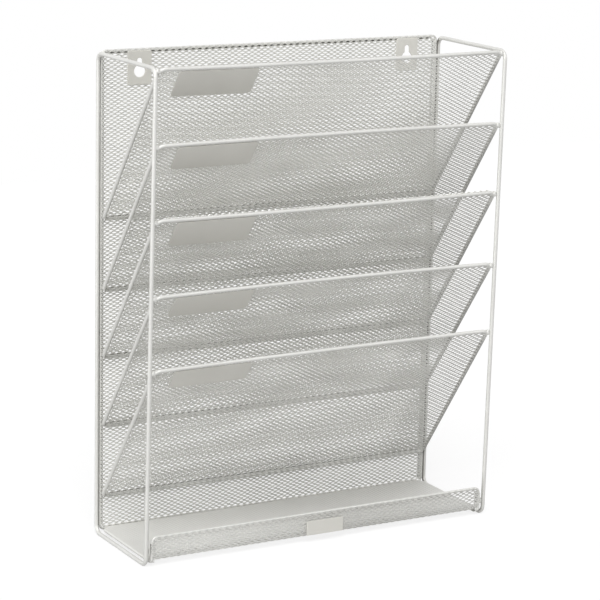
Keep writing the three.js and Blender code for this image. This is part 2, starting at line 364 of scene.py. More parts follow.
@dataclass(frozen=True)
class SilverPaint:
    """Satin silver-grey paint over steel.

    Attributes:
        name: The material's name.
        slot: The record's slot that it belongs to.
        full_cover: Colour where the paint is full.
        thin_cover: Colour where the paint is thinner.
        gloss_roughness: Roughness where the paint is full.
        thin_roughness: Roughness where the paint is thinner.
        metallic: How much of the paint is metal flake.
        film_depth: Depth of the orange peel.
        speckle: How strong the flakes' speckle is.
        dust: How much dust lies on faces that look up.
        dust_color: Colour of the dust.
        painted_shade_color: The dark colour that painted shade mixes towards, in crevices, folds and far
            sides.
    """

    name: str
    slot: Slot
    full_cover: Triple
    thin_cover: Triple
    gloss_roughness: float = 0.45
    thin_roughness: float = 0.6
    metallic: float = 0.25
    film_depth: float = 0.04 * MM
    speckle: float = 0.25
    dust: float = 0.15
    dust_color: Triple = (0.74, 0.73, 0.70)
    painted_shade_color: Triple = (0.24, 0.232, 0.215)

    def build(self, groups: PaintGroups) -> bpy.types.Material:
        """The finish as a node material."""
        material = bpy.data.materials.new(self.name)
        material.use_nodes = True
        nodes = NodeTree(material.node_tree)
        covers = {"Full Cover": opaque(self.full_cover), "Thin Cover": opaque(self.thin_cover)}
        tone = nodes.add("Group", {**covers, "Speckle": self.speckle}, node_tree=groups.tone).outputs
        dust = nodes.add("Group", {"Amount": self.dust}, node_tree=groups.dust).outputs["Mask"]
        # Painted shade: the colour is mixed towards a dark colour by the shade attribute, in crevices and on
        # shaded sides.
        painted_shade = nodes.add("Attribute", attribute_name="painted_shade").outputs["Fac"]
        dusty = nodes.mix(dust, tone["Color"], opaque(self.dust_color))
        film = nodes.add("Group", node_tree=groups.film).outputs["Height"]
        bump = nodes.add("Bump", {"Height": film, "Distance": self.film_depth, "Strength": 1.0})
        looks = {
            "Base Color": nodes.mix(painted_shade, dusty, opaque(self.painted_shade_color)),
            "Roughness": nodes.ranged(tone["Cover"], to_min=self.thin_roughness, to_max=self.gloss_roughness),
            "Metallic": self.metallic,
            "Specular IOR Level": 0.5,
            "Normal": bump.outputs["Normal"],
        }
        shader = nodes.tree.nodes["Principled BSDF"]
        for name, value in looks.items():
            nodes.feed(value, shader.inputs[name])
        return material


WIRE_FINISH = SilverPaint("silver_wire_paint", Slot.WIRE, (0.79, 0.787, 0.76), (0.71, 0.707, 0.68))
MESH_FINISH = SilverPaint(
    name="silver_mesh_paint",
    slot=Slot.MESH,
    full_cover=(0.87, 0.867, 0.835),
    thin_cover=(0.79, 0.787, 0.755),
    gloss_roughness=0.42,
    film_depth=0.03 * MM,
    speckle=0.2,
    dust=0.12,
)
SHELF_FINISH = replace(
    MESH_FINISH, name="silver_shelf_paint", full_cover=(0.86, 0.857, 0.83), thin_cover=(0.80, 0.797, 0.77)
)
PLATE_FINISH = SilverPaint(
    name="silver_plate_paint",
    slot=Slot.PLATE,
    full_cover=(0.76, 0.748, 0.70),
    thin_cover=(0.71, 0.698, 0.65),
    gloss_roughness=0.36,
    thin_roughness=0.5,
    metallic=0.3,
    film_depth=0.05 * MM,
    speckle=0.35,
    dust=0.1,
)


# Wires


@dataclass(frozen=True)
class ClosedWire:
    """One wire bent round its corners and welded end to end.

    Attributes:
        corners: The points where its straight runs would meet.
        radii: The bend radius at each corner, to the wire's centre.
        diameter: The wire's diameter.
        reference: A direction that the wire never runs along, from which its section is turned.
        sides: Faces round the section.
        bend_steps: Steps in each bend.
        run_steps: Steps along each straight run.
    """

    corners: Array
    radii: Array
    diameter: float
    reference: Array
    sides: int = 24
    bend_steps: int = 14
    run_steps: int = 24

    def centre_line(self) -> tuple[Array, Array]:
        """Points on the centre line and the wire's direction there.

        In each bend, from the direction of arrival a and the bend's centre c, the point at a turn t is
        c - r cos(t) (k x a) + r sin(t) a, where k is the bend's axis. Straight runs are divided evenly.

        Returns:
            The points and the unit directions, one row each.
        """
        arriving = unit(self.corners - np.roll(self.corners, 1, axis=0))
        leaving = np.roll(arriving, -1, axis=0)
        angle = np.arccos(np.clip((arriving * leaving).sum(axis=1), -1, 1))
        inward = np.cross(unit(np.cross(arriving, leaving)), arriving)
        radius = self.radii[:, None]
        centre = self.corners - arriving * radius * np.tan(angle / 2)[:, None] + inward * radius
        turn = (angle[:, None] * np.linspace(0, 1, self.bend_steps + 1))[:, :, None]
        across, along = inward[:, None, :], arriving[:, None, :]
        bends = centre[:, None, :] + radius[:, None, :] * (along * np.sin(turn) - across * np.cos(turn))
        bend_ways = along * np.cos(turn) + across * np.sin(turn)
        share = (np.arange(1, self.run_steps) / self.run_steps)[None, :, None]
        ends = np.roll(bends[:, 0], -1, axis=0)[:, None, :]
        runs = bends[:, -1:, :] * (1 - share) + ends * share
        run_ways = np.broadcast_to(leaving[:, None, :], runs.shape)
        points = np.concatenate([bends, runs], axis=1).reshape(-1, 3)
        ways = np.concatenate([bend_ways, run_ways], axis=1).reshape(-1, 3)
        return points, unit(ways)

    def surface(self, bow: Callable[[Array], Array] | None = None) -> Surface:
        """The wire's skin: a circle carried along the centre line.

        Args:
            bow: Gives each point of the centre line its small push from the straight, if there is one.

        Returns:
            The closed surface.
        """
        points, ways = self.centre_line()
        if bow is not None:
            points = points + bow(points)
        first = unit(self.reference - ways * (ways @ self.reference)[:, None])
        second = np.cross(ways, first)
        ring = circle(np.arange(self.sides) * WHOLE / self.sides, 1.0)
        offsets = first[:, None, :] * ring[:, :1] + second[:, None, :] * ring[:, 1:]
        skin = points[:, None, :] + offsets * self.diameter / 2
        return Surface(skin.reshape(-1, 3), (grid_faces(len(points), self.sides, True),))


# Sheets


@dataclass(frozen=True)
class FlatPlace:
    """A flat sheet's place.

    Attributes:
        origin: The middle of its upper edge.
        down: The direction down the sheet.
        out: The direction that its shown face looks in.
        length: Its length, over which the bow, the lifts and the waves fade out.
        half_width: Half of its width, over which they vary.
        bow: How far the upper edge's middle stands above its ends.
        lifts: How far the upper edge's left and right ends stand above its origin.
        wave: Height of the sheet's soft waves.
    """

    origin: Array
    down: Array = field(default_factory=lambda: DOWN)
    out: Array = field(default_factory=lambda: OUT)
    length: float = 1.0
    half_width: float = 1.0
    bow: float = 0.0
    lifts: Pair = (0.0, 0.0)
    wave: float = 0.0

    def raised(self, across: Array, share_down: Array) -> Array:
        """How far the bow and the lifts raise each point, less and less down the sheet."""
        u = np.clip(across / self.half_width, -1, 1)
        left, right = self.lifts
        at_top = self.bow * (1 - u * u) + left * (1 - u) / 2 + right * (1 + u) / 2
        return at_top * (1 - np.clip(share_down, 0, 1))

    def lay(self, flat: Array) -> Array:
        """The place of each (across, down, out), with the bow, the lifts and the soft waves added.

        With u across from -1 to 1 and v down from 0 to 1, the waves are three slanting sines, which
        fade out towards the sheet's edges with sin(pi v) (1 - u^2).
        """
        across, down, out = flat[..., 0], flat[..., 1], flat[..., 2]
        u = np.clip(across / self.half_width, -1, 1)
        v = np.clip(down / self.length, 0, 1)
        swell = np.sin(math.pi * v) * (1 - u * u)
        broad = np.sin(7.1 * u + 2.3 * v + 0.8) * np.cos(5.3 * v - 2.2 * u)
        out = out + self.wave * swell * (broad + 0.5 * np.sin(12.7 * u - 9.1 * v))
        placed = self.origin + down[..., None] * self.down + out[..., None] * self.out
        placed[..., 0] += across
        placed[..., 2] += self.raised(across, v)
        return placed


@dataclass(frozen=True)
class FoldedPlace:
    """The place of the shelf's sheet, which runs forward along the floor and folds up into the lip.

    Attributes:
        back: Y of the floor's back edge.
        floor: Z of the floor.
        run: Length of the flat floor, back to fold.
        radius: Radius of the fold.
    """

    back: float
    floor: float
    run: float
    radius: float

    def lay(self, flat: Array) -> Array:
        """The place of each (across, down, out), where down runs forward from the back edge.

        The distance first runs along the floor, then turns through a quarter circle and then rises.
        """
        across, forward, out = flat[..., 0], flat[..., 1], flat[..., 2]
        along = np.clip(forward, None, self.run)
        turn = np.clip((forward - self.run) / self.radius, 0, QUARTER)
        rise = np.clip(forward - self.run - self.radius * QUARTER, 0, None)
        y = self.back - along - (self.radius + out) * np.sin(turn)
        z = self.floor + self.radius - (self.radius + out) * np.cos(turn) + rise
        return np.stack([across, y, z], axis=-1)


AnyPlace = FlatPlace | FoldedPlace


@dataclass(frozen=True)
class Expanded:
    """Expanded steel: a sheet slit in staggered rows and pulled open into diamonds.

    Each row is one flat strand that zigzags between its two bonds. At a bond it lies edge to edge on the
    next row's strand. The strands are turned out of the sheet, all the same way.

    Attributes:
        long_way: Pitch of the openings across the sheet.
        short_way: Pitch of the openings down the sheet.
        strand: Width of a strand.
        gauge: Thickness of a strand.
        bond: Length of a bond.
        tilt: Angle between a strand's width and the sheet, in degrees.
        turn: How much that angle changes towards the sheet's right end, in degrees.
        turn_reach: Where that change starts and ends, as shares of the width from the middle.
        steps: Steps along a strand from bond to bond, more where the sheet is rolled up.
    """

    long_way: float = 6.15 * MM
    short_way: float = 3.35 * MM
    strand: float = 1.08 * MM
    gauge: float = 0.5 * MM
    bond: float = 1.2 * MM
    tilt: float = -20.0
    turn: float = 0.0
    turn_reach: Pair = (0.31, 0.39)
    steps: int = 1

    def pressed(self) -> "Expanded":
        """The same steel where it is pressed flat and drawn round a wire."""
        return replace(self, tilt=0.0, turn=0.0, gauge=0.35 * MM, strand=1.3 * MM, steps=3)

    def sheet(
        self,
        width: float,
        length: float,
        keep: Callable[[Array, Array], Array] | None = None,
        corner: float = 0.0,
        rows_kept: Pair = (0.0, 1.0),
    ) -> Surface:
        """A sheet of it, worked out flat.

        A strand's middle runs along a trapezoid wave: level over each bond, and straight between
        bonds. Its four corners stand half a strand and half a gauge off that line. Neighbouring rows
        share their vertices at a bond, and a cut strand's end is closed.

        Args:
            width: Across the sheet.
            length: Down the sheet.
            keep: Says which (across, down) are sheet, where the rest is cut away.
            corner: Radius to which the sheet's corners are drawn in.
            rows_kept: The first and last share of the rows that this piece has.

        Returns:
            The surface in (across, down, out).
        """
        halves = 2 * max(1, round(width / self.long_way))
        rows = 2 * max(1, round(length / self.short_way))
        row_height = length / rows
        stations, swing = self._stations(width, halves)
        row = np.arange(rows)[:, None]
        wave = swing[None, :] * (1 - 2 * (row % 2))

        lean = np.radians(self.tilt + self.turn * soft_step(stations / width, *self.turn_reach))
        across_strand = np.stack([np.cos(lean), np.sin(lean)]) * self.strand / 2
        through_strand = np.stack([-np.sin(lean), np.cos(lean)]) * self.gauge / 2
        middle_down = (row + 0.5) * row_height + (row_height / 2 - across_strand[0]) * wave
        middle_out = -across_strand[1] * wave
        signs = np.array([[-1, -1], [1, -1], [1, 1], [-1, 1]])
        offsets = across_strand[:, :, None] * signs[:, 0] + through_strand[:, :, None] * signs[:, 1]
        down = middle_down[:, :, None] + offsets[0]
        out = middle_out[:, :, None] + offsets[1]
        across = np.broadcast_to(stations[None, :, None], down.shape)

        segment_down = (middle_down[:, :-1] + middle_down[:, 1:]) / 2
        segment_across = np.broadcast_to((stations[:-1] + stations[1:])[None, :] / 2, segment_down.shape)
        in_rows = (row >= rows_kept[0] * rows) & (row < rows_kept[1] * rows)
        kept = np.broadcast_to(in_rows, segment_down.shape)
        if keep is not None:
            kept = kept & keep(segment_across, segment_down)

        numbers = np.arange(down.size).reshape(down.shape)
        meets_above = ((wave == -1) & (row > 0))[1:]
        for lower, upper in ((0, 1), (3, 2)):
            numbers[1:, :, lower] = np.where(meets_above, numbers[:-1, :, upper], numbers[1:, :, lower])

        level = (np.arange(kept.shape[1]) % (self.steps + 1) == 0)[None, :]
        none = np.zeros((1, kept.shape[1]), dtype=bool)
        joined_above = level & (wave[:, :-1] == -1) & np.concatenate([none, kept[:-1]])
        joined_below = level & (wave[:, :-1] == 1) & np.concatenate([kept[1:], none])
        shown = (kept, kept & ~joined_below, kept, kept & ~joined_above)
        faces = [self._strip(numbers, mask, side) for side, mask in enumerate(shown)]
        faces += self._ends(numbers, kept)
        flat = np.stack([across, down, out], axis=-1).reshape(-1, 3)
        flat = self._drawn_in(flat, width / 2, length, corner)
        return Surface(flat, (np.concatenate(faces),)).compact()

    def _stations(self, width: float, halves: int) -> tuple[Array, Array]:
        """Where a strand's sections stand across the sheet, and how far each swings, from -1 to 1.

        Each bond has a station at either end. Between two bonds the strand is divided evenly.
        """
        bonds = np.arange(halves + 1)[:, None]
        middles, swings = bonds * width / halves, 1.0 - 2 * (bonds % 2)
        share = np.arange(self.steps + 1)[None, :] / self.steps
        starts, ends = middles[:-1] + self.bond / 2, middles[1:] - self.bond / 2
        between = starts * (1 - share) + ends * share
        swung = swings[:-1] * (1 - share) + swings[1:] * share
        stations = np.concatenate([[0.0], between.ravel(), [width]]) - width / 2
        return stations, np.concatenate([swings[0], swung.ravel(), swings[-1]])

    @staticmethod
    def _strip(numbers: Array, mask: Array, side: int) -> Array:
        """The faces on one of the strands' four sides, for each segment in the mask."""
        after = (side + 1) % 4
        corners = (numbers[:, :-1, side], numbers[:, :-1, after], numbers[:, 1:, after], numbers[:, 1:, side])
        return np.stack(corners, axis=-1)[mask]

    @staticmethod
    def _ends(numbers: Array, kept: Array) -> list[Array]:
        """The end faces, where a kept segment has a missing one beside it."""
        none = np.zeros((len(kept), 1), dtype=bool)
        before = np.concatenate([none, kept], axis=1)
        after = np.concatenate([kept, none], axis=1)
        return [numbers[after & ~before][:, ::-1], numbers[before & ~after]]

    @staticmethod
    def _drawn_in(flat: Array, half_width: float, length: float, radius: float) -> Array:
        """Points beyond the sheet's rounded corners, moved straight back on to the corner's arc."""
        side = np.sign(flat[:, 0])
        beside = np.abs(flat[:, 0]) - (half_width - radius)
        lower = flat[:, 1] > length / 2
        beyond = np.where(lower, flat[:, 1] - (length - radius), radius - flat[:, 1])
        far = np.hypot(beside, beyond)
        outside = (beside > 0) & (beyond > 0) & (far > radius)
        share = np.where(outside, radius / np.maximum(far, 1e-9), 1.0)
        moved = flat.copy()
        moved[:, 0] = np.where(outside, side * (half_width - radius + beside * share), flat[:, 0])
        new_down = np.where(lower, length - radius + beyond * share, radius - beyond * share)
        moved[:, 1] = np.where(outside, new_down, flat[:, 1])
        return moved


@dataclass(frozen=True)
class WireHem:
    """How a sheet's edges ride over its wire, roll round it and end behind it.

    Attributes:
        half_width: From the sheet's middle to the side wires' centres.
        length: Down the sheet, between the upper and lower wires' centres.
        radius: From a wire's centre to the sheet that lies on it.
        corner: Radius of the wire's corners, where the hem is notched.
        reach: Width of the strip over which the sheet climbs on to the wire.
        folded: How far the sheet is pulled open behind the wire.
        slit: How dark the hem's painted shade is, on the roll's outer side, in the slit beside the next wire,
            and inside the fold.
        hidden: Turns of the roll over which its painted shade comes in.
        behind: Turns over which a side's roll comes to lie behind the wire.
        behind_end: The same for the upper or lower end's roll.
    """

    half_width: float
    length: float
    radius: float
    corner: float
    reach: float = 3.0 * MM
    folded: float = 1.0
    slit: float = 1.0
    hidden: Pair = (0.3, 1.0)
    behind: Pair = (1.9, 2.5)
    behind_end: Pair = (1.9, 2.6)

    def climb(self, flat: Array, over_upper: bool) -> Array:
        """The sheet's points, with the strips along its wires raised on to them in a soft step.

        Args:
            flat: The sheet's (across, down, out).
            over_upper: Whether the sheet climbs on to the upper wire too.

        Returns:
            The points with the raised (out).
        """
        inside = np.minimum(self.half_width - np.abs(flat[:, 0]), self.length - flat[:, 1])
        if over_upper:
            inside = np.minimum(inside, flat[:, 1])
        raised = flat.copy()
        raised[:, 2] += self.radius * (1 - soft_step(inside, self.radius / 2, self.radius / 2 + self.reach))
        return raised

    def rolled(self, beyond: Array, out: Array, spent: float) -> tuple[Array, Array, Array]:
        """Where the part of the sheet beyond a wire's centre lies: round the wire, then flat behind it.

        Args:
            beyond: How far past the wire's centre each point of the flat sheet is.
            out: How far out of the sheet it is.
            spent: How much of the flat sheet goes into the roll, where it is stretched to fit the wire.

        Returns:
            How far past the wire's centre each point ends up, how far out of its plane, and its turn.
        """
        turn = math.pi * np.clip(beyond / spent, 0, 1)
        rest = self.folded * np.clip(beyond - spent, 0, None)
        reach = self.radius + out
        return reach * np.sin(turn) - rest, reach * np.cos(turn), turn

    def side(self, lattice: Expanded, hand: Hand) -> Surface:
        """The hem of one side: a strip one opening wide that carries on from the sheet.

        Half an opening goes into the roll, so that the bonds behind stand in the openings in front. Painted
        shade darkens the roll's outer side, in the slit beside the next wire, and the fold's inside.
        """
        sign = -1 if hand is Hand.LEFT else 1
        notched = self.length - self.corner
        strip = lattice.sheet(
            lattice.long_way, self.length, lambda _, down: (down > self.corner) & (down < notched)
        )
        across, down, through = strip.points.T
        past, out, turn = self.rolled(lattice.long_way / 2 + sign * across, through, lattice.long_way / 2)
        placed = np.column_stack([sign * (self.half_width + past), down, out])
        behind = soft_step(turn, *self.behind)
        # Painted shade: on the roll's outer side, and behind the wire only on the fold's inside.
        painted_shade = soft_step(turn, *self.hidden) * (1 - behind) + behind * (through < 0)
        return Surface(placed, strip.faces, self.slit * painted_shade)

    def end(self, lattice: Expanded, upper: bool) -> Surface:
        """The hem of the upper or the lower end: a strip one opening long that carries on from the sheet.

        Half an opening goes into the roll, as at the sides. Painted shade darkens the fold's inside.
        """
        reach = lattice.short_way
        notched = self.half_width - self.corner
        strip = lattice.sheet(2 * self.half_width, reach, lambda across, _: np.abs(across) < notched)
        across, down, through = strip.points.T
        past, out, turn = self.rolled(reach - down if upper else down, through, reach / 2)
        placed = np.column_stack([across, -past if upper else self.length + past, out])
        # Painted shade on the fold's inside, behind the wire.
        return Surface(placed, strip.faces, self.slit * soft_step(turn, *self.behind_end) * (through < 0))


def rounded_rectangle(width: float, height: float, radius: float, steps: int = 8) -> Array:
    """A rounded rectangle's outline round its own middle: four quarter circles joined by straight sides."""
    centres = np.array([[1, -1], [1, 1], [-1, 1], [-1, -1]]) * [width / 2 - radius, height / 2 - radius]
    angle = (np.arange(4)[:, None] - 1) * QUARTER + np.linspace(0, QUARTER, steps + 1)
    return (centres[:, None, :] + circle(angle, radius)).reshape(-1, 2)


@dataclass(frozen=True)
class Plate:
    """A small sheet-metal plate with rounded corners and softened edges.

    Attributes:
        width: Across.
        height: Down.
        thickness: Of the sheet.
        corner: Radius of its corners.
        edge: Radius to which its edges are softened.
        flat_rim: Width of the strip inside the edge that keeps the flat faces flat in shading.
        edge_steps: Steps in the softened edge.
        least_corner: The smallest share of the corner's radius that a ring inside it keeps.
    """

    width: float
    height: float
    thickness: float
    corner: float
    edge: float = 0.22 * MM
    flat_rim: float = 0.5 * MM
    edge_steps: int = 4
    least_corner: float = 0.2

    def edge_profile(self) -> tuple[Array, Array]:
        """How far in from the outline, and how far out of the middle plane, the edge's steps lie.

        From the flat front round the front edge, and from the back edge to the flat back: at an
        angle t, the inset is e (1 - sin t) and the height is half the thickness less e (1 - cos t).
        """
        t = np.linspace(0, QUARTER, self.edge_steps + 1)
        inset = np.concatenate([[self.edge + self.flat_rim], self.edge * (1 - np.sin(t))])
        height = np.concatenate([[self.thickness / 2], self.thickness / 2 - self.edge * (1 - np.cos(t))])
        return np.concatenate([inset, inset[::-1]]), np.concatenate([height, -height[::-1]])

    def plain(self) -> Surface:
        """The plate without a hole: rings of its outline, closed by flat faces at the front and back."""
        insets, heights = self.edge_profile()
        rings = []
        for inset, height in zip(insets, heights):
            shrunk = max(self.corner - inset, self.least_corner * self.corner)
            outline = rounded_rectangle(self.width - 2 * inset, self.height - 2 * inset, shrunk)
            rings.append(np.column_stack([outline[:, 0], -outline[:, 1], np.full(len(outline), height)]))
        count = len(rings[0])
        front = np.arange(count)[None, ::-1]
        back = (np.arange(count) + count * (len(rings) - 1))[None, :]
        return Surface(np.concatenate(rings), (grid_faces(len(rings), count, False), front, back))

    def pierced(self, hole: Array, around: Pair) -> Surface:
        """The plate with a hole: at each angle round the hole's own centre, one closed section of sheet.

        Args:
            hole: The hole's outline, as (across, up) from the plate's middle.
            around: The hole's centre, as (across, up) from the plate's middle.

        Returns:
            The surface in (across, down, out) from the plate's middle.
        """
        outline = rounded_rectangle(self.width, self.height, self.corner)
        outer_angle, outer_reach = self._polar(outline, around)
        hole_angle, hole_reach = self._polar(hole, around)
        angle = np.unique(np.concatenate([outer_angle, hole_angle]).round(6))
        outer = np.interp(angle, outer_angle, outer_reach, period=WHOLE)
        inner = np.interp(angle, hole_angle, hole_reach, period=WHOLE)
        insets, heights = self.edge_profile()
        reach = np.concatenate([outer[:, None] - insets, inner[:, None] + insets[::-1]], axis=1)
        height = np.concatenate([heights, heights[::-1]])[None, :]
        across = around[0] + reach * np.cos(angle)[:, None]
        up = around[1] + reach * np.sin(angle)[:, None]
        points = np.stack([across, -up, np.broadcast_to(height, up.shape)], axis=-1)
        return Surface(points.reshape(-1, 3), (grid_faces(len(angle), reach.shape[1], True),))

    @staticmethod
    def _polar(outline: Array, around: Pair, divided: int = 24) -> tuple[Array, Array]:
        """The outline's angle and distance from a point, with its straight sides divided finely."""
        share = np.linspace(0, 1, divided, endpoint=False)[None, :, None]
        ends = np.roll(outline, -1, axis=0)[:, None, :]
        fine = (outline[:, None, :] * (1 - share) + ends * share).reshape(-1, 2) - around
        angle = np.arctan2(fine[:, 1], fine[:, 0])
        order = np.argsort(angle)
        return angle[order], np.hypot(fine[:, 0], fine[:, 1])[order]


@dataclass(frozen=True)
class WeldBead:
    """A small bead of weld metal under the paint.

    Attributes:
        centre: Its middle.
        size: Its full width, depth and height.
        lump: How far its surface wanders, as a share of its size.
        soft: Power that squares off the ball, where 1 is round.
        rings: Rings of vertices from pole to pole.
        sides: Vertices in a ring.
        pole: Angle from a pole to the first ring, which a flat cap closes.
    """

    centre: Array
    size: Array
    lump: float = 0.10
    soft: float = 0.8
    rings: int = 17
    sides: int = 24
    pole: float = 0.04

    def surface(self) -> Surface:
        """The bead's skin: a squared-off ball whose radius wanders a little with its two angles."""
        polar = np.linspace(self.pole, math.pi - self.pole, self.rings)[:, None]
        around = (np.arange(self.sides) * WHOLE / self.sides)[None, :]
        wander = 1 + self.lump * np.sin(3 * around + 1.1) * np.sin(2 * polar)
        wander = wander + self.lump * 0.6 * np.cos(2 * around - 5 * polar)
        ring = np.sin(polar) ** self.soft
        x = ring * self._squared(np.cos(around)) * wander
        y = ring * self._squared(np.sin(around)) * wander
        z = self._squared(np.cos(polar)) * wander
        ball = np.stack([x, y, z], axis=-1).reshape(-1, 3) * self.size / 2 + self.centre
        cap = np.arange(self.sides)[None, :]
        caps = (cap[:, ::-1], cap + self.sides * (self.rings - 1))
        return Surface(ball, (grid_faces(self.rings, self.sides, False), *caps))

    def _squared(self, value: Array) -> Array:
        """The value raised to the soft power with its sign kept."""
        return np.sign(value) * np.abs(value) ** self.soft


# Sub-assemblies


def node_box(node: str) -> tuple[Array, Array]:
    """A node's lowest and highest corners as arrays."""
    low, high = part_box(node)
    return np.array(low), np.array(high)


@dataclass(kw_only=True)
class SubAssembly:
    """Pieces that are made together.

    Attributes:
        finishes: The materials that they are dressed in.
        made: The pieces made so far.
    """

    finishes: dict[Slot, bpy.types.Material]
    made: list[bpy.types.Object] = field(default_factory=list)

    def dress(
        self, slot: Slot, name: str, surface: Surface, node: str, place: AnyPlace | None = None
    ) -> None:
        """Makes a piece in one of the paints.

        Args:
            slot: The record's slot of that paint.
            name: The piece's name.
            surface: Its shape, flat or in its place.
            node: The node that it stands for.
            place: Where a flat shape is laid.
        """
        if place is not None:
            surface = replace(surface, points=place.lay(surface.points))
        self.made.append(make_piece(name, surface, self.finishes[slot], slot, [node]))

    def weld(self, node: str, name: str, fullness: Triple, lift: float = 0.0) -> None:
        """Makes a weld bead, as large as its node's box times the fullness, and lifted a little."""
        low, high = node_box(node)
        bead = WeldBead((low + high) / 2 + [0, 0, lift], (high - low) * np.array(fullness))
        self.dress(Slot.WIRE, name, bead.surface(), node)


@dataclass(kw_only=True)
class SideLoop(SubAssembly):
    """One bent-wire side, whose front upright stands nearer the wall at the foot.

    Attributes:
        hand: Its side.
        lean: How much nearer the wall the front upright's foot is.
        drift: How far in towards the middle the tops of its back and front uprights stand.
        corner: Radius of its bends.
        wire: Diameter of its wire.
        lip_height: Height of the shelf's lip, beside which the front upright's inner side has painted shade.
        beside_lip: How dark that painted shade is there.
        facing: Shares of the wire's radius over which its side comes to face in.
    """

    hand: Hand
    lean: float
    drift: Pair = (0.0, 0.0)
    corner: float = 7 * MM
    wire: float = 3.45 * MM
    lip_height: float = 25 * MM
    beside_lip: float = 0.5
    facing: Pair = (0.35, 0.75)

    def build(self) -> None:
        """Makes the wire on its node's middle plane."""
        node = f"side_loop_{self.hand.value}"
        low, high = node_box(node)
        x = (low[0] + high[0]) / 2
        middle = (high[0] - low[0]) / 2
        front = low[1] + middle
        back, top = high[1:] - middle
        bottom = low[2] + self.wire / 2
        foot = front + self.lean
        corners = np.array([[x, foot, bottom], [x, back, bottom], [x, back, top], [x, front, top]])
        closed = ClosedWire(corners, np.full(4, self.corner), self.wire, np.array([1.0, 0, 0])).surface()
        points = closed.points
        # Painted shade on the wire's inward side, in the crevices beside the back panel and beside the lip.
        inward = -math.copysign(1.0, x)
        facing_in = soft_step(inward * (points[:, 0] - x) / (self.wire / 2), *self.facing)
        at_back = points[:, 1] > back - self.wire
        at_lip = (points[:, 1] < foot + self.wire) & (points[:, 2] < self.lip_height)
        slit = (at_back + self.beside_lip * at_lip) * (points[:, 2] > self.wire)
        share_up = points[:, 2] / top
        share_forward = (back - points[:, 1]) / (back - front)
        drift = share_up * (self.drift[0] * (1 - share_forward) + self.drift[1] * share_forward)
        moved = points + np.outer(inward * drift, [1, 0, 0])
        dressed = replace(closed, points=moved, painted_shade=facing_in * slit)
        self.dress(Slot.WIRE, f"{self.hand.value}_side_wire", dressed, node)


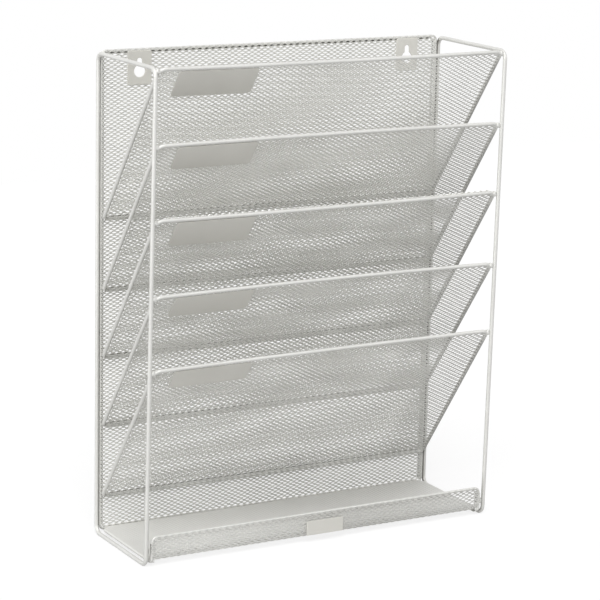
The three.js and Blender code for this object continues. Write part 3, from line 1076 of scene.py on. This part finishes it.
@dataclass(kw_only=True)
class BackPanel(SubAssembly):
    """The wire rectangle against the wall, its mesh and its two hanger plates.

    Attributes:
        corner: Radius of the frame's corners.
        mesh: The expanded steel in it.
        window_margin: How far the mesh's window stands inside each hanger plate.
        plate_corner: Radius of the hanger plates' corners.
        keyhole: Diameter of the keyhole's round part.
        slot: Width of its slot.
        keyhole_drop: From the plate's top to the round part's centre.
        slot_drop: From the plate's top to the slot's top.
        slot_steps: Points on the slot's round end.
        keyhole_steps: Points on the round part.
        wave: Height of the mesh's soft waves.
        core: Diameter of the wire inside the hem, where the node's wire has the hem's full thickness.
        hem_radius: From the wire's centre to the mesh that is rolled round it.
        upper_fold: How far the upper hem is pulled open behind the wire.
        drawn_down: How much lower the hemmed upper wire lies, so that its mesh stays at the node's top.
        drawn_out: How much wider the hemmed frame is, so that it touches the side loops.
        low_painted_shade: How much painted shade the mesh has near its foot, where the pockets shade it.
        low_band: Shares of the height, downwards, over which that shade comes in.
        low_sides: Shares of the half width over which it does so from the left.
        side_slits: How dark the painted shade is on the left and right hems, in the crevices beside the side
            loops.
    """

    corner: float = 3.5 * MM
    mesh: Expanded = Expanded()
    window_margin: float = 2.2 * MM
    plate_corner: float = 1.5 * MM
    keyhole: float = 10 * MM
    slot: float = 4.6 * MM
    keyhole_drop: float = 16.5 * MM
    slot_drop: float = 5.7 * MM
    slot_steps: int = 17
    keyhole_steps: int = 49
    wave: float = 0.3 * MM
    core: float = 2.0 * MM
    hem_radius: float = 1.15 * MM
    upper_fold: float = 2.1
    drawn_down: float = 0.25 * MM
    drawn_out: float = 0.75 * MM
    low_painted_shade: float = 0.13
    low_band: Pair = (0.6, 0.9)
    low_sides: Pair = (-0.95, -0.5)
    side_slits: Pair = (0.65, 0.36)

    def build(self) -> None:
        """Makes the frame's wire, the mesh in two halves with its hem, and the hanger plates."""
        low, high = node_box("back_panel_frame")
        wire = high[1] - low[1]
        wall = (low[1] + high[1]) / 2
        x = high[0] - wire / 2 + self.drawn_out
        bottom, top = low[2] + wire / 2, high[2] - wire / 2 - self.drawn_down
        corners = np.array([[-x, wall, bottom], [x, wall, bottom], [x, wall, top], [-x, wall, top]])
        closed = ClosedWire(corners, np.full(4, self.corner), self.core, np.array([0, 1.0, 0]), run_steps=8)
        self.dress(Slot.WIRE, "back_panel_wire", closed.surface(), "back_panel_frame")

        height = top - bottom
        place = FlatPlace(np.array([0, wall, top]), length=height, half_width=x, wave=self.wave)
        hem = WireHem(x, height, self.hem_radius, self.corner)
        sheets = {}
        for half, shares in (("mesh_upper", (0.0, 0.5)), ("mesh_lower", (0.5, 1.0))):
            flat = self.mesh.sheet(2 * x, height, self._outside_windows(top), self.corner, shares)
            across, share_down = flat.points[:, 0] / x, flat.points[:, 1] / height
            # Painted shade: darker near the mesh's foot, away from its left end.
            painted_shade = self.low_painted_shade * soft_step(share_down, *self.low_band)
            painted_shade = painted_shade * soft_step(across, *self.low_sides)
            sheets[half] = replace(flat, points=hem.climb(flat.points, over_upper=True), painted_shade=painted_shade)
        pressed = self.mesh.pressed()
        # Painted shade on the hems: in the crevices beside the side loops and inside the upper fold.
        for hand, slit in zip(Hand, self.side_slits):
            sheets[f"hem_{hand.value}"] = replace(hem, slit=slit).side(pressed, hand)
        sheets["hem_upper"] = replace(hem, folded=self.upper_fold).end(pressed, upper=True)
        sheets["hem_lower"] = replace(hem, slit=0.0).end(pressed, upper=False)
        for part, sheet in sheets.items():
            self.dress(Slot.MESH, f"back_panel_{part}", sheet, "back_panel_mesh", place)
        for hand in Hand:
            self._hanger_plate(hand)

    def _outside_windows(self, top: float) -> Callable[[Array, Array], Array]:
        """Says which (across, down) of the mesh lie outside the windows behind the hanger plates."""
        boxes = [node_box(f"hanger_plate_{hand.value}") for hand in Hand]

        def keep(across: Array, down: Array) -> Array:
            """Whether each point lies outside both windows."""
            kept, up = np.ones(across.shape, dtype=bool), top - down
            for low, high in boxes:
                low, high = low + self.window_margin, high - self.window_margin
                kept &= ~((across > low[0]) & (across < high[0]) & (up > low[2]) & (up < high[2]))
            return kept

        return keep

    def _keyhole_outline(self, height: float) -> Array:
        """The keyhole as (across, up) from the plate's middle: a circle with a round-ended slot above it."""
        slot_up = height / 2 - self.slot_drop - self.slot / 2
        meeting = math.acos(self.slot / self.keyhole)
        slot_angle = np.linspace(0, math.pi, self.slot_steps)
        hole_angle = np.linspace(math.pi - meeting, WHOLE + meeting, self.keyhole_steps)
        slot_arc = circle(slot_angle, self.slot / 2) + [0, slot_up]
        hole_arc = circle(hole_angle, self.keyhole / 2) + [0, height / 2 - self.keyhole_drop]
        return np.concatenate([slot_arc, hole_arc])

    def _hanger_plate(self, hand: Hand) -> None:
        """Makes one hanger plate in its node's place."""
        node = f"hanger_plate_{hand.value}"
        low, high = node_box(node)
        width, thickness, height = high - low
        plate = Plate(width, height, thickness, self.plate_corner)
        flat = plate.pierced(self._keyhole_outline(height), (0.0, height / 2 - self.keyhole_drop))
        self.dress(Slot.PLATE, f"hanger_keyhole_plate_{hand.value}", flat, node, FlatPlace((low + high) / 2))


@dataclass(frozen=True)
class PocketFacts:
    """What differs from pocket to pocket.

    Attributes:
        bow: How far the top wire's middle stands above its ends.
        short_way: Pitch of its mesh's openings down the slope.
        label_reach: From the top wire's centre down to the label plate's lower edge.
        lifts: How far the top wire's left and right ends stand above its node's.
        cut_edge: How far the mesh's cut edge shows above the top wire.
        shade_from_pocket_above: How much painted shade the mesh has, where the pocket above shades it. The
            first pocket has none above it.
        right_end: How strongly the mesh changes towards its right end.
    """

    bow: float
    short_way: float
    label_reach: float
    lifts: Pair = (0.0, 0.0)
    cut_edge: float = 0.0
    shade_from_pocket_above: float = 0.11
    right_end: float = 1.0


POCKETS = (
    PocketFacts(-0.9 * MM, 3.55 * MM, 29 * MM, (0.0, 0.4 * MM), shade_from_pocket_above=0.0, right_end=0.25),
    PocketFacts(0.7 * MM, 3.3 * MM, 26 * MM),
    PocketFacts(-0.9 * MM, 3.55 * MM, 29 * MM, (0.45 * MM, 1.4 * MM), cut_edge=1.7 * MM),
    PocketFacts(1.2 * MM, 3.75 * MM, 24.5 * MM, (-1.1 * MM, -0.7 * MM)),
    PocketFacts(0.6 * MM, 3.85 * MM, 22.5 * MM, (-1.5 * MM, 0.65 * MM)),
)


@dataclass(kw_only=True)
class Pocket(SubAssembly):
    """One slanting pocket: its wire, mesh, label plate and two weld beads.

    Attributes:
        number: Its number, from the top.
        facts: What it has of its own.
        node_wire: Diameter of its node's wire.
        wire: Diameter of the wire that is shown.
        top_corner: Radius of the wire's upper bends.
        bottom_corner: Radius of its lower bends.
        long_way: Pitch of its mesh's openings across the slope.
        strand: Width of its mesh's strands.
        tilt: Angle between the strands and the mesh, in degrees.
        turn: How much less they tilt at the mesh's right end, in degrees.
        wave: Height of the mesh's soft waves.
        side_inset: How far inside the side wires' centres the mesh ends, on their front.
        hem_gap: From the wire to the mesh that is rolled round it.
        slit: How dark the painted shade is on the left side wire, in the slit beside the mesh.
        slit_band: Shares of the wire's radius, inwards, over which that shade comes in.
        slit_end: The share at which that ends.
        right_wire_shade: How much painted shade the right side wire has, where the meshes to its left shade
            it.
        wire_band: Distances below the top over which the side wires' painted shade comes in.
        right_end_shade: How much painted shade the mesh has at its right end, under the pocket above.
        end_band: Shares of the half width over which that shade comes in.
        foot: How much painted shade the mesh has just above the lower wire, in the crevice there.
        foot_band: Distances above that wire over which that shade comes in.
        hem_share: The share of that which the lower hem has.
        label_corner: Radius of the label plate's corners.
        label_gauge: Its thickness.
        label_gap: From the top wire down to it.
        label_stand_off: How far it stands out of the pocket's plane.
        bead: How much of its node's box a weld bead fills.
    """

    number: int
    facts: PocketFacts
    node_wire: float = 3.4 * MM
    wire: float = 3.2 * MM
    top_corner: float = 6.5 * MM
    bottom_corner: float = 5 * MM
    long_way: float = 6.1 * MM
    strand: float = 0.88 * MM
    tilt: float = -24.0
    turn: float = 15.0
    wave: float = 0.35 * MM
    side_inset: float = 1.5 * MM
    hem_gap: float = 0.2 * MM
    slit: float = 0.7
    slit_band: Pair = (0.25, 0.7)
    slit_end: float = 1.05
    right_wire_shade: float = 0.48
    wire_band: Pair = (4 * MM, 12 * MM)
    right_end_shade: float = 0.24
    end_band: Pair = (0.62, 0.8)
    foot: float = 0.36
    foot_band: Pair = (4 * MM, 2 * MM)
    hem_share: float = 0.6
    label_corner: float = 3 * MM
    label_gauge: float = 0.8 * MM
    label_gap: float = 0.1 * MM
    label_stand_off: float = 1.2 * MM
    bead: Triple = (1.35, 1.0, 1.0)

    def build(self) -> None:
        """Makes the pocket's pieces on the plane through its wire."""
        name, facts = f"pocket_{self.number}", self.facts
        low, high = node_box(f"{name}_frame")
        low, high = low + self.node_wire / 2, high - self.node_wire / 2
        x, (front, bottom), (back, top) = high[0], low[1:], high[1:]
        origin = np.array([0, front, top])
        slope = math.hypot(back - front, top - bottom)
        down = np.array([0, back - front, bottom - top]) / slope
        out = np.array([0, down[2], -down[1]])
        place = FlatPlace(origin, down, out, slope, x, facts.bow, facts.lifts, self.wave)
        self._wire(place, bottom)

        turn = self.turn * facts.right_end
        lattice = Expanded(self.long_way, facts.short_way, self.strand, tilt=self.tilt, turn=turn)
        hem = WireHem(x, slope, self.wire / 2 + self.hem_gap, self.bottom_corner, slit=self.slit)
        flat = lattice.sheet(2 * (x - self.side_inset), slope, corner=self.bottom_corner)
        # Painted shade: just above the lower wire, under the pocket above, and at the right end.
        at_foot = self.foot * soft_step(flat.points[:, 1], *(slope - above for above in self.foot_band))
        at_end = self.right_end_shade * facts.right_end * soft_step(flat.points[:, 0] / x, *self.end_band)
        painted_shade = np.maximum(np.maximum(at_foot, facts.shade_from_pocket_above), at_end)
        sheets = {"expanded_mesh": replace(flat, points=hem.climb(flat.points, over_upper=False), painted_shade=painted_shade)}
        lower = hem.end(lattice.pressed(), upper=False)
        sheets["lower_hem"] = replace(lower, painted_shade=np.maximum(lower.painted_shade, self.hem_share * self.foot))
        if facts.cut_edge:
            edge = lattice.sheet(2 * (x - self.top_corner), lattice.short_way)
            behind = np.array([lattice.long_way / 4, -facts.cut_edge, -self.wire / 2])
            sheets["cut_edge"] = replace(edge, points=edge.points + behind)
        for part, sheet in sheets.items():
            self.dress(Slot.MESH, f"{name}_{part}", sheet, f"{name}_mesh", place)
        self._label(place)
        for hand, lift in zip(Hand, facts.lifts):
            self.weld(f"{name}_weld_{hand.value}", f"{name}_bead_{hand.value}", self.bead, lift)

    def _wire(self, place: FlatPlace, bottom: float) -> None:
        """Makes the wire, with painted shade at the right and in the slit at the left, but not near the top.

        Args:
            place: The plane through it.
            bottom: Z of its lower run.
        """
        x, slope, top = place.half_width, place.length, place.origin[2]
        ends = np.array([[-x, slope], [x, slope], [x, 0], [-x, 0]])
        corners = place.origin + ends[:, 1:] * place.down
        corners[:, 0] = ends[:, 0]
        radii = np.repeat([self.bottom_corner, self.top_corner], 2)

        def raised(points: Array) -> Array:
            """The bow and the lifts of the centre line."""
            share_down = (top - points[:, 2]) / (top - bottom)
            return np.column_stack([np.zeros((len(points), 2)), place.raised(points[:, 0], share_down)])

        skin = ClosedWire(corners, radii, self.wire, place.out, run_steps=32).surface(raised)
        # Painted shade on the right side wire, and on the left one in the slit beside the mesh.
        inside = (x - np.abs(skin.points[:, 0])) / (self.wire / 2)
        beside_mesh = soft_step(inside, *self.slit_band) * (inside < self.slit_end)
        on_right = skin.points[:, 0] > x - self.node_wire / 2
        painted_shade = np.where(on_right, self.right_wire_shade, self.slit * beside_mesh)
        painted_shade = painted_shade * soft_step(top - skin.points[:, 2], *self.wire_band)
        name = f"pocket_{self.number}"
        self.dress(Slot.WIRE, f"{name}_wire", replace(skin, painted_shade=painted_shade), f"{name}_frame")

    def _label(self, place: FlatPlace) -> None:
        """Makes the label plate, which hangs from just under the top wire on the mesh's shown face."""
        node = f"pocket_{self.number}_label_plate"
        low, high = node_box(node)
        upper = self.node_wire / 2 + self.label_gap
        height = self.facts.label_reach - upper
        flat = Plate(high[0] - low[0], height, self.label_gauge, self.label_corner).plain()
        shift = np.array([(low[0] + high[0]) / 2, upper + height / 2, self.label_stand_off])
        moved = replace(flat, points=flat.points + shift)
        self.dress(Slot.PLATE, f"pocket_{self.number}_label", moved, node, place)


@dataclass(kw_only=True)
class Shelf(SubAssembly):
    """The shelf at the foot: one wire, one folded mesh, two weld beads and the blank name plate.

    Attributes:
        wire: The wire's diameter with its hem.
        core: The wire's own diameter.
        hem_radius: From the wire's centre to the mesh that is rolled round it.
        back_corner: Radius of the rim's back bends.
        fold: Radius of the bends between the floor and the lip.
        lip_corner: Radius of the lip's upper bends.
        crossing: Length over which the sheet goes from inside the wire to outside it, past the fold.
        mesh: The expanded steel in it.
        thin_cover_and_shade: How much painted shade its floor has towards the right, where the pockets shade
            it.
        thin_band: Shares of the half width over which that shade comes in.
        lip_darkening: How much darker the lip is coloured, rising from the fold to its top.
        slit_band: Shares of the hem's radius over which the hem at the lip's left gets painted shade, in the
            gap beside the upright.
        lip_slit: How dark that painted shade is low on the lip, and how much more at its top.
        lip_band: Distances past the floor over which it gets so.
        plate_corner: Radius of the name plate's corners.
        plate_edge: Radius to which its edges are softened.
        bead: How much of its node's box a weld bead fills.
    """

    wire: float = 3 * MM
    core: float = 2.3 * MM
    hem_radius: float = 1.3 * MM
    back_corner: float = 5 * MM
    fold: float = 3 * MM
    lip_corner: float = 5 * MM
    crossing: float = 3 * MM
    mesh: Expanded = Expanded(strand=0.98 * MM, tilt=14.0)
    thin_cover_and_shade: float = 0.24
    thin_band: Pair = (-0.8, 0.4)
    lip_darkening: float = 0.08
    slit_band: Pair = (0.3, 0.8)
    lip_slit: Pair = (0.25, 0.6)
    lip_band: Pair = (7 * MM, 14 * MM)
    plate_corner: float = 1 * MM
    plate_edge: float = 0.3 * MM
    bead: Triple = (1.5, 1.2, 1.0)

    def build(self) -> None:
        """Makes the wire, the sheet folded on it, the beads and the plate."""
        low, high = node_box("shelf_frame")
        low, high = low + self.wire / 2, high - self.wire / 2
        x, (lip, floor), (back, top) = high[0], low[1:], high[1:]
        right = np.array([[x, back, floor], [x, lip, floor], [x, lip, top]])
        left = right[::-1] * np.array([-1, 1, 1])
        radii = np.array([self.back_corner, self.fold, self.lip_corner])
        radii = np.concatenate([radii, radii[::-1]])
        closed = ClosedWire(np.concatenate([right, left]), radii, self.core, np.ones(3))
        self.dress(Slot.WIRE, "shelf_wire", closed.surface(), "shelf_frame")

        run = back - lip - self.fold
        folded = run + self.fold * QUARTER
        length = folded + (top - floor - self.fold)
        place = FoldedPlace(back, floor, run, self.fold)
        hem = WireHem(x, length, self.hem_radius, self.lip_corner)
        pressed = self.mesh.pressed()
        flat = self.mesh.sheet(2 * x, length, corner=self.lip_corner)
        across, forward, through = flat.points.T
        on_lip = soft_step(forward, run, folded + self.crossing)
        climbed = hem.climb(flat.points, over_upper=False)[:, 2]
        out = through - self.hem_radius + (climbed + self.hem_radius - through) * on_lip
        # Painted shade: darker towards the floor's right, where the pockets shade it. The lip also darkens
        # towards its top.
        painted_shade = self.thin_cover_and_shade * soft_step(across, *(share * x for share in self.thin_band))
        painted_shade = painted_shade + self.lip_darkening * soft_step(forward, run, length)
        laid = Surface(np.column_stack([across, forward, out]), flat.faces, painted_shade)
        sheets = {"shelf_expanded_mesh": laid}
        for hand in Hand:
            sheets[f"shelf_hem_{hand.value}"] = self._side_hem(hem.side(pressed, hand), hand, x, run)
        sheets["lip_hem"] = hem.end(pressed, upper=False)
        for name, sheet in sheets.items():
            self.dress(Slot.MESH, name, sheet, "shelf_mesh", place)
        for hand in Hand:
            self.weld(f"lip_weld_{hand.value}", f"lip_bead_{hand.value}", self.bead)
        self._name_plate()

    def _side_hem(self, strip: Surface, hand: Hand, x: float, run: float) -> Surface:
        """A side hem, which lies under the floor and behind the lip, with painted shade in the slit at the
        lip's left.

        Args:
            strip: The hem as it is on a sheet with its shown face up.
            hand: Its side.
            x: From the middle to the side wire's centre.
            run: Length of the flat floor.

        Returns:
            The hem, turned over where it is on the floor.
        """
        turned = strip.points.copy()
        forward = turned[:, 1]
        turned[:, 2] *= 2 * soft_step(forward, run, run + self.fold * QUARTER + self.crossing) - 1
        # Painted shade in the gap between the lip's left end and the upright, more towards the lip's top.
        reach = (x + share * self.hem_radius for share in self.slit_band)
        outside = soft_step(np.abs(turned[:, 0]), *reach)
        low_on_lip, more = self.lip_slit
        upwards = low_on_lip + more * soft_step(forward, *(run + past for past in self.lip_band))
        painted_shade = outside * upwards * (forward > run) * (hand is Hand.LEFT)
        return Surface(turned, strip.faces, painted_shade)

    def _name_plate(self) -> None:
        """Makes the blank plate on the front of the lip."""
        low, high = node_box("name_plate")
        width, thickness, height = high - low
        plate = Plate(width, height, thickness, self.plate_corner, self.plate_edge)
        self.dress(Slot.PLATE, "bare_name_plate", plate.plain(), "name_plate", FlatPlace((low + high) / 2))


# Studio


@dataclass(frozen=True)
class PhotoCamera:
    """The camera at the photograph's viewing angle.

    Attributes:
        place: Where it stands.
        azimuth: How far it stands round to the left of straight ahead, in degrees.
        elevation: Height above the horizon, in degrees.
        roll: Turn about its own axis, in degrees.
        lens: Focal length, in millimetres, on a sensor of that width.
        sensor: That width, in millimetres.
        clip: The nearest and farthest that it sees.
    """

    place: Triple = (-0.97587, -1.72893, 0.65691)
    azimuth: float = 29.45
    elevation: float = 12.99
    roll: float = 1.26
    lens: float = 145.15
    sensor: float = 36.0
    clip: Pair = (0.05, 50.0)

    def build(self) -> None:
        """Makes the camera and gives it to the scene."""
        azimuth, elevation, roll = (math.radians(a) for a in (self.azimuth, self.elevation, self.roll))
        level = -math.cos(elevation)
        back = np.array([math.sin(azimuth) * level, math.cos(azimuth) * level, math.sin(elevation)])
        right = unit(np.cross([0, 0, 1], back))
        up = np.cross(back, right)
        turned_right = math.cos(roll) * right + math.sin(roll) * up
        turned_up = math.cos(roll) * up - math.sin(roll) * right
        turned = Matrix(np.column_stack([turned_right, turned_up, back]).tolist()).to_4x4()
        data = bpy.data.cameras.new("photo_camera")
        data.lens = self.lens
        data.sensor_width = self.sensor
        data.sensor_fit = "HORIZONTAL"
        data.clip_start, data.clip_end = self.clip
        camera = new_object("photo_camera", data)
        camera.matrix_world = Matrix.Translation(self.place) @ turned
        bpy.context.scene.camera = camera


@dataclass(frozen=True)
class SoftLamp:
    """A large soft light far away.

    Attributes:
        name: Its name.
        azimuth: How far it stands round to the left of straight ahead, in degrees.
        elevation: Height above the horizon, in degrees.
        strength: Its light on a surface that faces it.
        spread: How wide it looks from the object, in degrees.
    """

    name: str
    azimuth: float
    elevation: float
    strength: float
    spread: float

    def build(self) -> None:
        """Makes the lamp, pointed at the object."""
        azimuth, elevation = math.radians(self.azimuth), math.radians(self.elevation)
        data = bpy.data.lights.new(self.name, "SUN")
        data.energy = self.strength
        data.angle = math.radians(self.spread)
        new_object(self.name, data).rotation_euler = (QUARTER - elevation, 0, -azimuth)


@dataclass(frozen=True)
class Studio:
    """A white floor and surround, plain soft light and the camera.

    Attributes:
        camera: The camera.
        lamps: The lamps.
        surround: The surround's strength as a light.
        floor_reach: From the middle to the floor's sides.
        floor_color: Colour of the floor as the object sees it.
        floor_share: The share of that colour that the camera sees shaded.
        floor_glow: The floor's own strength to the camera, which makes up for the rest.
    """

    camera: PhotoCamera = PhotoCamera()
    lamps: tuple[SoftLamp, ...] = (
        SoftLamp("key_light", azimuth=30, elevation=54, strength=1.6, spread=30),
        SoftLamp("side_light", azimuth=75, elevation=8, strength=1.15, spread=40),
        SoftLamp("fill_light", azimuth=-50, elevation=35, strength=0.2, spread=60),
    )
    surround: float = 0.37
    floor_reach: float = 1.6
    floor_color: Triple = (0.72, 0.72, 0.72)
    floor_share: float = 0.35
    floor_glow: float = 0.8

    def build(self) -> None:
        """Makes the surround, floor, lamps and camera."""
        self.camera.build()
        for lamp in self.lamps:
            lamp.build()
        self._surround()
        self._floor()
        bpy.context.scene.view_settings.view_transform = "Standard"

    def _surround(self) -> None:
        """Makes the world white where it is seen, reflected or looked through, and softer as a light."""
        world = bpy.data.worlds.new("white_surround")
        world.use_nodes = True
        nodes = NodeTree(world.node_tree)
        background = nodes.tree.nodes["Background"].inputs
        background["Color"].default_value = (1, 1, 1, 1)
        path = nodes.add("LightPath").outputs
        seen = nodes.math("MAXIMUM", path["Is Camera Ray"], path["Is Glossy Ray"])
        seen = nodes.math("MAXIMUM", seen, path["Is Transmission Ray"])
        nodes.feed(nodes.ranged(seen, to_min=self.surround, to_max=1.0), background["Strength"])
        bpy.context.scene.world = world

    def _floor(self) -> None:
        """Makes the floor, white to the camera where nothing shades it."""
        reach = self.floor_reach
        corners = [(-reach, -reach, 0), (reach, -reach, 0), (reach, reach, 0), (-reach, reach, 0)]
        mesh = bpy.data.meshes.new("studio_floor")
        mesh.from_pydata(corners, [], [[0, 1, 2, 3]])
        floor = new_object("studio_floor", mesh)
        material = bpy.data.materials.new("white_floor")
        material.use_nodes = True
        nodes = NodeTree(material.node_tree)
        nodes.tree.nodes.remove(nodes.tree.nodes["Principled BSDF"])
        seen = nodes.add("LightPath").outputs["Is Camera Ray"]
        color = nodes.mix(seen, opaque(self.floor_color), opaque(self.floor_color, self.floor_share))
        matt = nodes.add("BsdfDiffuse", {"Color": color}).outputs[0]
        glow = nodes.add("Emission", {"Strength": nodes.ranged(seen, to_max=self.floor_glow)}).outputs[0]
        both = nodes.add("AddShader", {0: matt, 1: glow}).outputs[0]
        nodes.feed(both, nodes.tree.nodes["Material Output"].inputs["Surface"])
        mesh.materials.append(material)


def main() -> None:
    """Builds the studio and each sub-assembly."""
    logging.basicConfig(level=logging.INFO, format="%(message)s")
    Studio().build()
    groups = PaintGroups(paint_film_group(), paint_tone_group(), settled_dust_group())
    finishes = {finish.slot: finish.build(groups) for finish in (WIRE_FINISH, MESH_FINISH, PLATE_FINISH)}
    shelf_finishes = finishes | {Slot.MESH: SHELF_FINISH.build(groups)}
    pockets = [
        Pocket(finishes=finishes, number=number, facts=facts) for number, facts in enumerate(POCKETS, start=1)
    ]
    assemblies: list[SubAssembly] = [
        SideLoop(finishes=finishes, hand=Hand.LEFT, lean=8.0 * MM, drift=(0.45 * MM, 1.5 * MM)),
        SideLoop(finishes=finishes, hand=Hand.RIGHT, lean=7.2 * MM),
        BackPanel(finishes=finishes),
        *pockets,
        Shelf(finishes=shelf_finishes),
    ]
    for assembly in assemblies:
        assembly.build()


if __name__ == "__main__":
    main()
